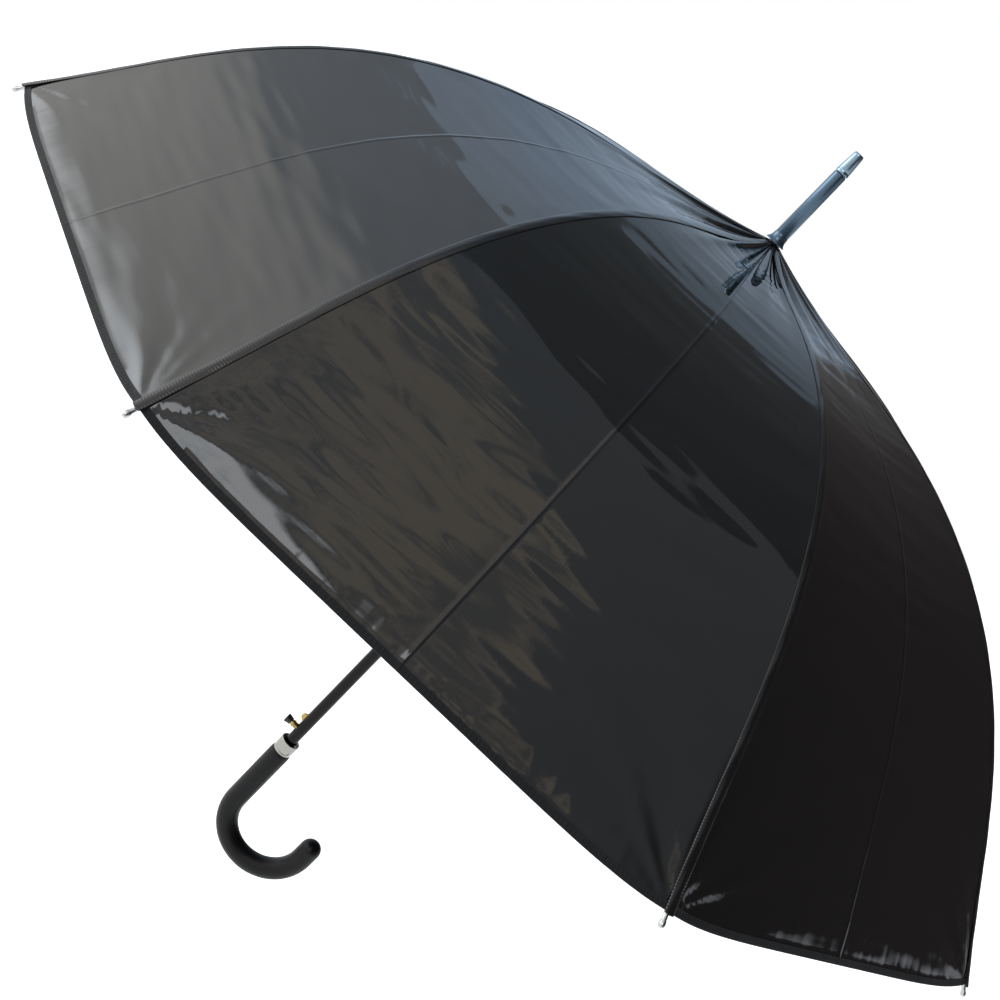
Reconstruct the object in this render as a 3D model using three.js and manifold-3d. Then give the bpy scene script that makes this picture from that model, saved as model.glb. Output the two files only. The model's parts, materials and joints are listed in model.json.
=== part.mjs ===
// Automatic walking umbrella, shown open: a deep eight-rib dome of glossy film on a hollow shaft,
// with a crook handle and a push-button latch.
// Millimetres, +Z up the shaft. The origin is on the shaft axis, at the lower edge of the handle collar.
// The crook opens towards +X, the latch button points to -X, and one panel faces -Y.
import * as THREE from 'three';
import { mergeVertices } from 'three/addons/utils/BufferGeometryUtils.js';
import Module from 'manifold-3d';

const wasm = await Module();
wasm.setup();

// ---------- driving dimensions ----------
const RIBS = 8;
const GAP = 0.3; // clearance between pieces that lie against each other

// Canopy surface: an eight-sided dome whose corners follow the ribs.
const OPEN_RADIUS = 540; // shaft axis to a canopy corner
const HUB_RADIUS = 5.4; // where the surface meets the ferrule
const HUB_TOP = 671; // height of the surface at the hub
// Slope of a rib below level, in degrees, at shares of its length from hub to corner.
const RIB_SLOPES = [[0, 18.5], [0.15, 8.5], [0.3, 11.5], [0.5, 26.5], [0.7, 43.5], [0.85, 51], [1, 49]];
const FILM = 0.4;
const FILM_START_RADIUS = 8.5;
const FILM_END = 0.988; // share of the rib length where the film gives way to the hem tape
const PANEL_EDGE_GAP = 0.5; // each panel stops this short of the corner line
const PANEL_STEPS = 14;
const HEM_THICKNESS = 1.2;
const HEM_BULGE = 8; // how far the hem bows out between two rib tips
const HEM_END_GAP = 3.6;
const HEM_STEPS = 12;

// Ribs, which lie just under the corner lines of the canopy.
const RIB_INSET = 3.2; // canopy surface to rib centreline
const PIVOT_RADIUS = 10.8; // shaft axis to the pins of the crown and of the runner
const INNER_RIB = { thickness: 2.8, width: 3.4 };
const OUTER_RIB = { thickness: 2.4, width: 2.4 };
const STRETCHER = { thickness: 3, width: 2.4 };
const FLEX_SHARE = 0.47; // share of the rib length where the rod meets the channel
const CLIP_DROP = 5.2; // rib centreline to the stretcher pin
const CLIP_BACK = 3; // the stretcher pin sits this far hubward of the rod's root
const CLIP_PLATE = 0.7;
const ROD_END = 0.975;
const TIP = { radius: 2.2, sharpness: 1.5, beyond: 10.5 };

// Shaft and handle.
const SHAFT_RADIUS = 6;
const SHAFT_BORE = 5;
const SHAFT_BOTTOM = -60;
const GRIP_RADIUS = 11;
const CROOK_BEND = 44.5; // centreline radius of the hook
const CROOK_STRAIGHT = 71.5; // length of grip above the bend
const CROOK_TAIL = 13;
const COLLAR = { radius: 10.3, height: 15, cup: 8.6, cupFloor: 10 };

// Crown, ferrule and runner.
const CROWN = { radius: 12.6, top: HUB_TOP - 4, bottom: HUB_TOP - 11, slot: 4.2 };
const SLOT_ROOT = 8.8;
const FERRULE = { flange: 9.2, base: 6.5, end: 5.9, height: 77, spigot: 4.7, spigotLength: 20 };
const FERRULE_CAP = { base: 6.1, end: 4.5, top: 99 };
const RUNNER = { bore: 6.35, sleeve: 8.4, lip: 8.9, flange: 14, halfFlange: 3.5, length: 56, slot: 3 };

// Push-button latch in the shaft, below the parked runner.
const BUTTON_HEIGHT = 30.5;
const CATCH_HEIGHT = 44;
const LATCH_PIVOT = { x: -2.4, z: -6, pin: 1 };
const STEM_RADIUS = 2.8;
const CATCH = { radius: 4.5, reach: 10, width: 2.4 };

// Opening spring and its plunger, inside the shaft.
const SPRING = { wire: 0.5, coil: 3.9, turns: 26, seat: 62 };
const PLUNGER_DROP = 8; // runner pin to the plunger's lower face
const TRAVEL_SLOT = 3.4;

// ---------- small geometry tools ----------
const rad = THREE.MathUtils.degToRad;

function solidOf(geometry) {
  const bare = geometry.clone();
  bare.deleteAttribute('normal');
  bare.deleteAttribute('uv');
  const merged = mergeVertices(bare, 1e-4);
  const mesh = new wasm.Mesh({
    numProp: 3,
    vertProperties: new Float32Array(merged.attributes.position.array),
    triVerts: new Uint32Array(merged.index.array),
  });
  return new wasm.Manifold(mesh);
}

function geometryOf(solid) {
  const mesh = solid.getMesh();
  const geometry = new THREE.BufferGeometry();
  geometry.setAttribute('position', new THREE.BufferAttribute(new Float32Array(mesh.vertProperties), 3));
  geometry.setIndex(new THREE.BufferAttribute(new Uint32Array(mesh.triVerts), 1));
  return geometry;
}

function joined(first, ...others) {
  return geometryOf(others.reduce((solid, other) => solid.add(solidOf(other)), solidOf(first)));
}

function cut(first, ...others) {
  return geometryOf(others.reduce((solid, other) => solid.subtract(solidOf(other)), solidOf(first)));
}

function boxBetween([x0, y0, z0], [x1, y1, z1]) {
  return new THREE.BoxGeometry(x1 - x0, y1 - y0, z1 - z0)
    .translate((x0 + x1) / 2, (y0 + y1) / 2, (z0 + z1) / 2);
}

// A turned piece about Z, from [radius, height] pairs that close on the axis or on themselves.
function turned(profile, sides = 24) {
  const points = profile.map(([r, z]) => new THREE.Vector2(r, z));
  if (profile[0][0] > 0) {
    points.push(points[0].clone());
  }
  return new THREE.LatheGeometry(points, sides).rotateX(Math.PI / 2);
}

// A flat plate in the XZ plane, centred on y = 0.
function plate(outline, width, y = 0) {
  return new THREE.ExtrudeGeometry(new THREE.Shape(outline), { depth: width, bevelEnabled: false })
    .rotateX(Math.PI / 2)
    .translate(0, y + width / 2, 0);
}

function pinAlongY(x, z, radius, length, sides = 12) {
  return new THREE.CylinderGeometry(radius, radius, length, sides).translate(x, 0, z);
}

// ---------- the curve of a rib ----------
const slopeCurve = new THREE.SplineCurve(RIB_SLOPES.map(([s, deg]) => new THREE.Vector2(s, rad(deg))));
const CURVE_STEPS = 400;

function integrateRib() {
  const stations = [{ s: 0, slope: slopeCurve.getPoint(0).y, run: 0, drop: 0 }];
  for (let i = 1; i <= CURVE_STEPS; i++) {
    const point = slopeCurve.getPoint(i / CURVE_STEPS);
    const last = stations[i - 1];
    const ds = point.x - last.s;
    const middle = (point.y + last.slope) / 2;
    stations.push({
      s: point.x,
      slope: point.y,
      run: last.run + ds * Math.cos(middle),
      drop: last.drop + ds * Math.sin(middle),
    });
  }
  return stations;
}

const stations = integrateRib();
const RIB_LENGTH = (OPEN_RADIUS - HUB_RADIUS) / stations.at(-1).run;

// The point at share s of the rib's length, inset towards the inside of the dome.
function onRib(s, inset = 0) {
  const i = Math.max(1, stations.findIndex((station) => station.s >= s));
  const [a, b] = [stations[i - 1], stations[i]];
  const t = (s - a.s) / (b.s - a.s);
  const slope = THREE.MathUtils.lerp(a.slope, b.slope, t);
  const run = THREE.MathUtils.lerp(a.run, b.run, t) * RIB_LENGTH;
  const drop = THREE.MathUtils.lerp(a.drop, b.drop, t) * RIB_LENGTH;
  return {
    x: HUB_RADIUS + run - inset * Math.sin(slope),
    z: HUB_TOP - drop - inset * Math.cos(slope),
    slope,
  };
}

// The share of the length at which the inset line reaches a radius.
function shareAtRadius(radius, inset = 0) {
  let [low, high] = [0, 1];
  for (let i = 0; i < 40; i++) {
    const middle = (low + high) / 2;
    if (onRib(middle, inset).x < radius) {
      low = middle;
    } else {
      high = middle;
    }
  }
  return (low + high) / 2;
}

// Outline of a band of one thickness along the rib, between two shares of its length.
function bandOutline(from, to, thickness, steps) {
  const side = (offset) => Array.from({ length: steps + 1 }, (_, i) => {
    const point = onRib(from + (to - from) * i / steps, RIB_INSET + offset);
    return new THREE.Vector2(point.x, point.z);
  });
  return [...side(thickness / 2), ...side(-thickness / 2).reverse()];
}

// ---------- pivots, in the vertical plane of one rib ----------
const crownShare = shareAtRadius(PIVOT_RADIUS, RIB_INSET);
const crownPin = onRib(crownShare, RIB_INSET);
const flexPin = onRib(FLEX_SHARE, RIB_INSET);

function fromFlexPin(along, inward) {
  const { x, z, slope } = flexPin;
  return new THREE.Vector2(
    x + along * Math.cos(slope) - inward * Math.sin(slope),
    z - along * Math.sin(slope) - inward * Math.cos(slope),
  );
}

const clipPin = fromFlexPin(-CLIP_BACK, CLIP_DROP);
// The stretcher is as long as the rib is from crown pin to clip pin, so its foot keeps to the pivot radius.
const runnerPin = { x: PIVOT_RADIUS, z: 2 * clipPin.y - crownPin.z };
const ARM = Math.hypot(clipPin.x - crownPin.x, clipPin.y - crownPin.z);

// ---------- one rib's pieces, each lying in the XZ plane with the shaft on its left ----------
function innerRib() {
  const bandEnd = FLEX_SHARE - 2.2 / RIB_LENGTH;
  const band = plate(bandOutline(crownShare, bandEnd, INNER_RIB.thickness, 10), INNER_RIB.width);
  const eye = pinAlongY(crownPin.x, crownPin.z, INNER_RIB.thickness / 2 + 0.1, INNER_RIB.width);
  const cheek = [[-7, -1.1], [2, -1.1], [2.2, 1.6], [-0.6, 7], [-5.4, 7], [-7, 2]]
    .map(([along, inward]) => fromFlexPin(along, inward));
  const cheekY = OUTER_RIB.width / 2 + GAP + CLIP_PLATE / 2;
  return joined(band, eye, plate(cheek, CLIP_PLATE, cheekY), plate(cheek, CLIP_PLATE, -cheekY));
}

function outerRib() {
  const band = plate(bandOutline(FLEX_SHARE, ROD_END, OUTER_RIB.thickness, 12), OUTER_RIB.width);
  return joined(band, pinAlongY(flexPin.x, flexPin.z, OUTER_RIB.thickness / 2 + 0.1, OUTER_RIB.width));
}

function stretcher() {
  const along = new THREE.Vector2(clipPin.x - runnerPin.x, clipPin.y - runnerPin.z);
  const angle = along.angle();
  const radius = STRETCHER.thickness / 2;
  const shape = new THREE.Shape();
  shape.absarc(runnerPin.x, runnerPin.z, radius, angle + Math.PI / 2, angle + 1.5 * Math.PI);
  shape.absarc(clipPin.x, clipPin.y, radius, angle - Math.PI / 2, angle + Math.PI / 2);
  return plate(shape.getPoints(5), STRETCHER.width);
}

function ribTip() {
  const start = onRib(ROD_END, RIB_INSET);
  const end = onRib(1, RIB_INSET);
  const slope = (start.slope + end.slope) / 2;
  const length = (1 - ROD_END) * RIB_LENGTH + TIP.beyond;
  const { radius, sharpness } = TIP;
  const profile = [[0, GAP], [radius, GAP], [radius, length - sharpness], [radius - 0.7, length], [0, length]];
  return turned(profile, 12)
    .rotateY(Math.PI / 2 + slope)
    .translate(start.x, 0, start.z);
}

// ---------- one panel's pieces, with the middle of the panel along +X ----------
const HALF_PANEL = Math.PI / RIBS;

function closedStrip(outer, inner) {
  // Both lists hold [left, right] rows from hub to hem.
  const rows = outer.length;
  const vertices = [...outer.flat(), ...inner.flat()];
  const index = [];
  const quad = (a, b, c, d) => index.push(a, b, c, a, c, d);
  const top = (row, side) => 2 * row + side;
  const under = (row, side) => 2 * rows + 2 * row + side;
  for (let i = 0; i < rows - 1; i++) {
    quad(top(i, 0), top(i + 1, 0), top(i + 1, 1), top(i, 1));
    quad(under(i, 0), under(i, 1), under(i + 1, 1), under(i + 1, 0));
    quad(top(i, 1), top(i + 1, 1), under(i + 1, 1), under(i, 1));
    quad(top(i, 0), under(i, 0), under(i + 1, 0), top(i + 1, 0));
  }
  quad(top(0, 0), top(0, 1), under(0, 1), under(0, 0));
  quad(top(rows - 1, 1), top(rows - 1, 0), under(rows - 1, 0), under(rows - 1, 1));
  const geometry = new THREE.BufferGeometry();
  geometry.setAttribute('position', new THREE.Float32BufferAttribute(vertices.flatMap((v) => v.toArray()), 3));
  geometry.setIndex(index);
  return geometry;
}

// The slope of a panel's flat cross-section, which is steeper than its ribs.
function panelSlope(ribSlope) {
  return Math.atan(Math.tan(ribSlope) / Math.cos(HALF_PANEL));
}

function panelFilm() {
  const from = shareAtRadius(FILM_START_RADIUS);
  const rows = (inset) => Array.from({ length: PANEL_STEPS + 1 }, (_, i) => {
    const point = onRib(from + (FILM_END - from) * i / PANEL_STEPS);
    const slope = panelSlope(point.slope);
    const x = point.x * Math.cos(HALF_PANEL) - inset * Math.sin(slope);
    const z = point.z - inset * Math.cos(slope);
    const y = point.x * Math.sin(HALF_PANEL) - PANEL_EDGE_GAP;
    return [new THREE.Vector3(x, -y, z), new THREE.Vector3(x, y, z)];
  });
  return closedStrip(rows(0), rows(FILM));
}

function hemTape() {
  const top = onRib(FILM_END);
  const corner = onRib(1);
  const slope = panelSlope((top.slope + corner.slope) / 2);
  const halfLength = top.x * Math.sin(HALF_PANEL) - HEM_END_GAP;
  const depth = (1 - FILM_END) * RIB_LENGTH;
  const outline = [new THREE.Vector2(halfLength, GAP + 0.1), new THREE.Vector2(-halfLength, GAP + 0.1)];
  for (let i = 0; i <= HEM_STEPS; i++) {
    const u = 2 * i / HEM_STEPS - 1;
    outline.push(new THREE.Vector2(u * halfLength, depth + HEM_BULGE * (1 - u ** 4)));
  }
  const tape = new THREE.ExtrudeGeometry(new THREE.Shape(outline.reverse()), {
    depth: HEM_THICKNESS,
    bevelEnabled: false,
  }).translate(0, 0, FILM / 2 - HEM_THICKNESS / 2);
  const across = new THREE.Vector3(0, 1, 0);
  const down = new THREE.Vector3(Math.cos(slope), 0, -Math.sin(slope));
  const inward = new THREE.Vector3().crossVectors(across, down);
  const place = new THREE.Matrix4().makeBasis(across, down, inward);
  place.setPosition(top.x * Math.cos(HALF_PANEL), 0, top.z);
  return tape.applyMatrix4(place);
}

// ---------- pieces on the shaft ----------
const parkedRunner = crownPin.z - 2 * ARM * Math.cos(rad(2.3));
const RUNNER_TRAVEL = runnerPin.z - parkedRunner;

function shaftTube() {
  const tube = turned([
    [SHAFT_BORE, SHAFT_BOTTOM], [SHAFT_RADIUS, SHAFT_BOTTOM],
    [SHAFT_RADIUS, HUB_TOP + GAP], [SHAFT_BORE, HUB_TOP + GAP],
  ]);
  const seat = turned([
    [2.6, SPRING.seat - 3], [SHAFT_BORE + 0.4, SPRING.seat - 3],
    [SHAFT_BORE + 0.4, SPRING.seat - 0.9], [2.6, SPRING.seat - 0.9],
  ]);
  const stemSlot = boxBetween(
    [-8, -STEM_RADIUS - 0.4, BUTTON_HEIGHT - STEM_RADIUS - 1],
    [-3, STEM_RADIUS + 0.4, BUTTON_HEIGHT + STEM_RADIUS + 1],
  );
  const catchSlot = boxBetween(
    [-8, -CATCH.width / 2 - 0.4, CATCH_HEIGHT - CATCH.radius - 0.8],
    [-3, CATCH.width / 2 + 0.4, CATCH_HEIGHT + CATCH.radius + 0.8],
  );
  const travelSlot = boxBetween(
    [-TRAVEL_SLOT / 2, 3, parkedRunner - PLUNGER_DROP - 2],
    [TRAVEL_SLOT / 2, 8, runnerPin.z + 1],
  );
  const pinHole = pinAlongY(LATCH_PIVOT.x, LATCH_PIVOT.z, LATCH_PIVOT.pin + 0.2, 20);
  return cut(joined(tube, seat), stemSlot, catchSlot, travelSlot, pinHole);
}

function crookHandle() {
  const path = new THREE.CurvePath();
  const at = (x, z) => new THREE.Vector3(x, 0, z);
  const bend = -CROOK_STRAIGHT;
  const kappa = 4 / 3 * (Math.SQRT2 - 1) * CROOK_BEND; // control arm of a quarter circle
  path.add(new THREE.LineCurve3(at(0, 0), at(0, bend)));
  path.add(new THREE.CubicBezierCurve3(
    at(0, bend), at(0, bend - kappa), at(CROOK_BEND - kappa, bend - CROOK_BEND), at(CROOK_BEND, bend - CROOK_BEND),
  ));
  path.add(new THREE.CubicBezierCurve3(
    at(CROOK_BEND, bend - CROOK_BEND), at(CROOK_BEND + kappa, bend - CROOK_BEND),
    at(2 * CROOK_BEND, bend - kappa), at(2 * CROOK_BEND, bend),
  ));
  path.add(new THREE.LineCurve3(at(2 * CROOK_BEND, bend), at(2 * CROOK_BEND, bend + CROOK_TAIL)));
  const section = new THREE.Shape();
  section.absarc(0, 0, GRIP_RADIUS, 0, 2 * Math.PI);
  const grip = new THREE.ExtrudeGeometry(section, {
    steps: 36, curveSegments: 8, bevelEnabled: false, extrudePath: path,
  });
  const end = new THREE.SphereGeometry(GRIP_RADIUS, 16, 10).rotateX(Math.PI / 2)
    .translate(2 * CROOK_BEND, 0, bend + CROOK_TAIL);
  const bore = new THREE.CylinderGeometry(SHAFT_RADIUS + GAP, SHAFT_RADIUS + GAP, 70, 24).rotateX(Math.PI / 2)
    .translate(0, 0, SHAFT_BOTTOM - 2 + 35);
  return cut(joined(grip, end), bore);
}

function handleCollar() {
  const { radius, height, cup, cupFloor } = COLLAR;
  const bore = SHAFT_RADIUS + GAP;
  return turned([
    [bore, GAP], [radius - 0.3, GAP], [radius, 0.8], [radius, height - 0.5], [radius - 0.4, height],
    [cup + 0.5, height], [cup, height - 1], [cup, cupFloor], [bore, cupFloor],
  ], 32);
}

function crown() {
  const { radius, top, bottom, slot } = CROWN;
  const bore = SHAFT_RADIUS + GAP;
  const ring = turned([[bore, bottom], [radius, bottom], [radius, top - 1], [radius - 1, top], [bore, top]], 32);
  return cut(ring, ...slots(slot, bottom - 1, top + 1));
}

// Radial slots, one in the plane of each rib.
function slots(width, bottom, top) {
  return Array.from({ length: RIBS }, (_, i) => boxBetween(
    [SLOT_ROOT, -width / 2, bottom], [RUNNER.flange + 4, width / 2, top],
  ).rotateZ(ribBearing(i)));
}

function ferruleSpike() {
  const { flange, base, end, height, spigot, spigotLength } = FERRULE;
  const seat = HUB_TOP + 2 * GAP;
  return turned([
    [0, seat - spigotLength], [spigot, seat - spigotLength], [spigot, seat], [flange, seat],
    [flange, seat + 1.4], [base + 0.9, seat + 4], [base, seat + 8], [end, HUB_TOP + height], [0, HUB_TOP + height],
  ]);
}

function ferruleCap() {
  const { base, end, top } = FERRULE_CAP;
  const foot = HUB_TOP + FERRULE.height + GAP;
  return turned([
    [0, foot], [base, foot], [base, foot + 3], [end, HUB_TOP + top - 0.6], [end - 0.6, HUB_TOP + top],
    [0, HUB_TOP + top],
  ]);
}

function runner() {
  const { bore, sleeve, lip, flange, halfFlange, length, slot } = RUNNER;
  const z = runnerPin.z;
  const bottom = z - length;
  const body = turned([
    [bore, bottom], [lip, bottom], [lip, bottom + 2], [sleeve, bottom + 3], [sleeve, z - halfFlange - 3],
    [flange, z - halfFlange], [flange, z + halfFlange], [bore, z + halfFlange],
  ], 32);
  const catchTop = CATCH_HEIGHT + CATCH.radius + RUNNER_TRAVEL;
  const catchWindow = boxBetween(
    [-12, -CATCH.width / 2 - 0.8, catchTop - 2 * CATCH.radius - 1], [-5, CATCH.width / 2 + 0.8, catchTop + 1],
  );
  const armHole = boxBetween(
    [-1.6, 5, z - PLUNGER_DROP - 0.4], [1.6, 10, z - PLUNGER_DROP + 4.4],
  );
  return cut(body, ...slots(slot, bottom + 10, z + 10), catchWindow, armHole);
}

function springPlunger() {
  const z = runnerPin.z - PLUNGER_DROP;
  const piston = new THREE.CylinderGeometry(4.6, 4.6, 7, 16).rotateX(Math.PI / 2).translate(0, 0, z + 3.5);
  return joined(piston, boxBetween([-1.2, 0, z], [1.2, 8, z + 4]));
}

class Helix extends THREE.Curve {
  constructor(radius, turns, bottom, top) {
    super();
    Object.assign(this, { radius, turns, bottom, top });
  }

  getPoint(t, target = new THREE.Vector3()) {
    const angle = 2 * Math.PI * this.turns * t;
    const z = this.bottom + (this.top - this.bottom) * t;
    return target.set(this.radius * Math.cos(angle), this.radius * Math.sin(angle), z);
  }
}

function driveSpring() {
  const { wire, coil, turns, seat } = SPRING;
  const section = new THREE.Shape();
  section.absarc(0, 0, wire, 0, 2 * Math.PI);
  const helix = new Helix(coil, turns, seat, runnerPin.z - PLUNGER_DROP - 1);
  return new THREE.ExtrudeGeometry(section, {
    steps: turns * 9, curveSegments: 3, bevelEnabled: false, extrudePath: helix,
  });
}

// ---------- latch ----------
function latchLever() {
  const { x, z, pin } = LATCH_PIVOT;
  const half = CATCH.width / 2;
  const leaf = boxBetween([-4.5, -half, z], [-3.1, half, CATCH_HEIGHT + CATCH.radius]);
  const eye = pinAlongY(x, z, 2.2, CATCH.width, 16);
  const stem = new THREE.CylinderGeometry(STEM_RADIUS, STEM_RADIUS, 12, 16).rotateZ(Math.PI / 2)
    .translate(-9.2, 0, BUTTON_HEIGHT);
  const moon = new THREE.Shape();
  moon.absellipse(-SHAFT_RADIUS + 2, CATCH_HEIGHT, CATCH.reach - SHAFT_RADIUS + 2, CATCH.radius, Math.PI / 2,
    1.5 * Math.PI);
  const hook = plate(moon.getPoints(8), CATCH.width);
  return cut(joined(leaf, eye, stem, hook), pinAlongY(x, z, pin + GAP, CATCH.width + 2, 16));
}

function latchButton() {
  return turned([[0, 3], [3.1, 3], [3.1, 0], [3.7, 0], [4.7, 5.6], [4.3, 6.5], [0, 6.5]], 20)
    .rotateY(-Math.PI / 2)
    .translate(-13, 0, BUTTON_HEIGHT);
}

function latchPin() {
  return pinAlongY(LATCH_PIVOT.x, LATCH_PIVOT.z, LATCH_PIVOT.pin, 10.4);
}

// ---------- finishes ----------
const finish = (color, roughness, metalness) => ({ color, roughness, metalness });
const BLACK_FILM = finish(0x1b1c1d, 0.12, 0);
const BLACK_TAPE = finish(0x22252a, 0.5, 0);
const STEEL = finish(0x9a9c9e, 0.35, 1);
const BLACK_STEEL = finish(0x17181a, 0.25, 0.6);
const BLACK_LACQUER = finish(0x131415, 0.2, 0.3);
const CHROME = finish(0xd9dbdc, 0.1, 1);
const BRASS = finish(0xb7912f, 0.3, 1);
const BLACK_NYLON = finish(0x191a1b, 0.45, 0);
const GRIP = finish(0x1a1b1d, 0.5, 0);
const FERRULE_FINISH = finish(0x2b3947, 0.25, 0.4);

// ---------- assembly ----------
const umbrella = new THREE.Group();

function add(name, geometry, look, parent = umbrella) {
  const mesh = new THREE.Mesh(geometry, new THREE.MeshStandardMaterial(look));
  mesh.name = name;
  parent.add(mesh);
}

// Rib 1 stands half a panel from -Y towards +X, and the rest follow round the shaft.
function ribBearing(i) {
  return (i + 0.5) * 2 * HALF_PANEL - Math.PI / 2;
}

function turnedGroup(bearing) {
  const group = new THREE.Group();
  group.rotation.z = bearing;
  umbrella.add(group);
  return group;
}

add('shaft_tube', shaftTube(), BLACK_LACQUER);
add('crook_handle', crookHandle(), GRIP);
add('handle_collar', handleCollar(), CHROME);
add('rib_crown', crown(), BLACK_NYLON);
add('ferrule_spike', ferruleSpike(), FERRULE_FINISH);
add('ferrule_cap', ferruleCap(), CHROME);
add('runner', runner(), BLACK_NYLON);
add('spring_plunger', springPlunger(), STEEL);
add('drive_spring', driveSpring(), STEEL);
add('latch_lever', latchLever(), BRASS);
add('latch_button', latchButton(), BLACK_NYLON);
add('latch_pin', latchPin(), STEEL);

const ribPieces = {
  rib_channel: [innerRib(), BLACK_STEEL],
  rib_rod: [outerRib(), BLACK_STEEL],
  stretcher: [stretcher(), BLACK_STEEL],
  rib_tip: [ribTip(), CHROME],
};
const panelPieces = {
  canopy_panel: [panelFilm(), BLACK_FILM],
  hem_tape: [hemTape(), BLACK_TAPE],
};

for (let i = 0; i < RIBS; i++) {
  const ribPlane = turnedGroup(ribBearing(i));
  for (const [name, [geometry, look]] of Object.entries(ribPieces)) {
    add(`${name}_${i + 1}`, geometry, look, ribPlane);
  }
  const panelPlane = turnedGroup(ribBearing(i) - HALF_PANEL);
  for (const [name, [geometry, look]] of Object.entries(panelPieces)) {
    add(`${name}_${i + 1}`, geometry, look, panelPlane);
  }
}

// Pivots in the plane of one rib, for whoever animates the model.
umbrella.userData = { crownPin, flexPin, clipPin, runnerPin, arm: ARM, ribLength: RIB_LENGTH, travel: RUNNER_TRAVEL };

export default umbrella;
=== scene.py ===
"""Black film dome umbrella: the finished look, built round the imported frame."""

import json
import math

import bpy
import numpy as np
from mathutils import Matrix, Vector


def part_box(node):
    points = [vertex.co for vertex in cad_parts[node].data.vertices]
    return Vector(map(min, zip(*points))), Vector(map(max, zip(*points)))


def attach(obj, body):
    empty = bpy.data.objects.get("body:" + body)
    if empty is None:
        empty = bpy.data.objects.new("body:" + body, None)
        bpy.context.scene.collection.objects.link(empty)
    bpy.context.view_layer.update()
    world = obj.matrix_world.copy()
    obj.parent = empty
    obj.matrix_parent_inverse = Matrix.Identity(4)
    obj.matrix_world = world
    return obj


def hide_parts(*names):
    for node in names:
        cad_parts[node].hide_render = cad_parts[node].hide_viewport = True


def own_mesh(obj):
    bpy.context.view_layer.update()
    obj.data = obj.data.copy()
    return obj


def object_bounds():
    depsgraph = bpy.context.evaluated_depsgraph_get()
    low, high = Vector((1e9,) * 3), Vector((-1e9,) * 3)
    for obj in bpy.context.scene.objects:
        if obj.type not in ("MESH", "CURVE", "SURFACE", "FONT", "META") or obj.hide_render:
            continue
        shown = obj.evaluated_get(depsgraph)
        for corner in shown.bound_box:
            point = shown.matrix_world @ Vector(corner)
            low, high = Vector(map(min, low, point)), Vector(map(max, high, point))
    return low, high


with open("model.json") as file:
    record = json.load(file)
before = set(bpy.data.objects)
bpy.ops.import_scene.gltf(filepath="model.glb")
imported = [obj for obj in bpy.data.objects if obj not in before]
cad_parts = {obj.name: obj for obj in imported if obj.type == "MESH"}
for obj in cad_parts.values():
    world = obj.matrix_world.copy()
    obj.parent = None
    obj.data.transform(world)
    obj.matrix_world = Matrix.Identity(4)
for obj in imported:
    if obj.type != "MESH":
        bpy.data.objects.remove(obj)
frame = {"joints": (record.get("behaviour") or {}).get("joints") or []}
CAD_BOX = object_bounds()

MM = 0.001
RIBS = 8
HALF = math.pi / RIBS

# ---------- sizes taken from the frame ----------
LOW = CAD_BOX[0]
CROWN_LOW, CROWN_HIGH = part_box("rib_crown")
RUNNER_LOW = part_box("runner")[0]
COLLAR_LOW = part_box("handle_collar")[0]
SPIKE_LOW, SPIKE_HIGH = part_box("ferrule_spike")
CAP_LOW, CAP_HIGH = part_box("ferrule_cap")
SHAFT_LOW, SHAFT_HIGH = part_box("shaft_tube")
BUTTON_LOW, BUTTON_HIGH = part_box("latch_button")
JOINTS = {joint["name"]: joint for joint in frame["joints"]}


def pin_place(joint):
    """Radius and height of a hinge, in the upright plane of its rib."""
    x, y, z = JOINTS[joint]["pos_m"]
    return math.hypot(x, y), z


CROWN_PIN = pin_place("rib_fold_1")
FLEX_PIN = pin_place("rib_flex_1")
CLIP_PIN = pin_place("stretcher_fold_1")
RUNNER_PIN = (CROWN_PIN[0], 2 * CLIP_PIN[1] - CROWN_PIN[1])

# ---------- the dome, as the frame has it ----------
OPEN_RADIUS = 540 * MM
HUB_RADIUS = 5.4 * MM
HUB_TOP = CROWN_HIGH[2] + 4 * MM
# Slope of a rib below level, in degrees, at shares of its length from hub to corner.
RIB_SLOPES = [(0, 18.5), (0.15, 8.5), (0.3, 11.5), (0.5, 26.5), (0.7, 43.5), (0.85, 51), (1, 49)]
FLEX_SHARE = 0.47
ROD_END = 0.975
RIB_INSET = 3.2 * MM
FILM_THICKNESS = 0.4 * MM
FILM_START = 0.004
# How far the hem hangs below the line between two tips, and how square that bulge is.
HEM_BULGE, HEM_SQUARENESS = 8 * MM, 6
# Stations between two slopes of the list above.
CURVE_STEPS = 67


def rib_stations():
    """Shares of the length, slopes, runs and drops along a rib of length 1, with the slopes smoothed."""
    knots = np.array([(s, math.radians(deg)) for s, deg in RIB_SLOPES])
    padded = np.vstack([knots[:1], knots, knots[-1:]])
    rows = []
    for i in range(len(knots) - 1):
        a, b, c, d = padded[i : i + 4]
        t = np.linspace(0, 1, CURVE_STEPS)[:, None][1 if i else 0 :]
        start, end = (c - a) / 2, (d - b) / 2
        cubic, square = 2 * b - 2 * c + start + end, 3 * c - 3 * b - 2 * start - end
        rows.append(cubic * t**3 + square * t**2 + start * t + b)
    share, slope = np.vstack(rows).T
    step, middle = np.diff(share), (slope[1:] + slope[:-1]) / 2
    run = np.concatenate([[0], np.cumsum(step * np.cos(middle))])
    drop = np.concatenate([[0], np.cumsum(step * np.sin(middle))])
    return share, slope, run, drop


SHARE, SLOPE, RUN, DROP = rib_stations()
RIB_LENGTH = (OPEN_RADIUS - HUB_RADIUS) / RUN[-1]


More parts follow.
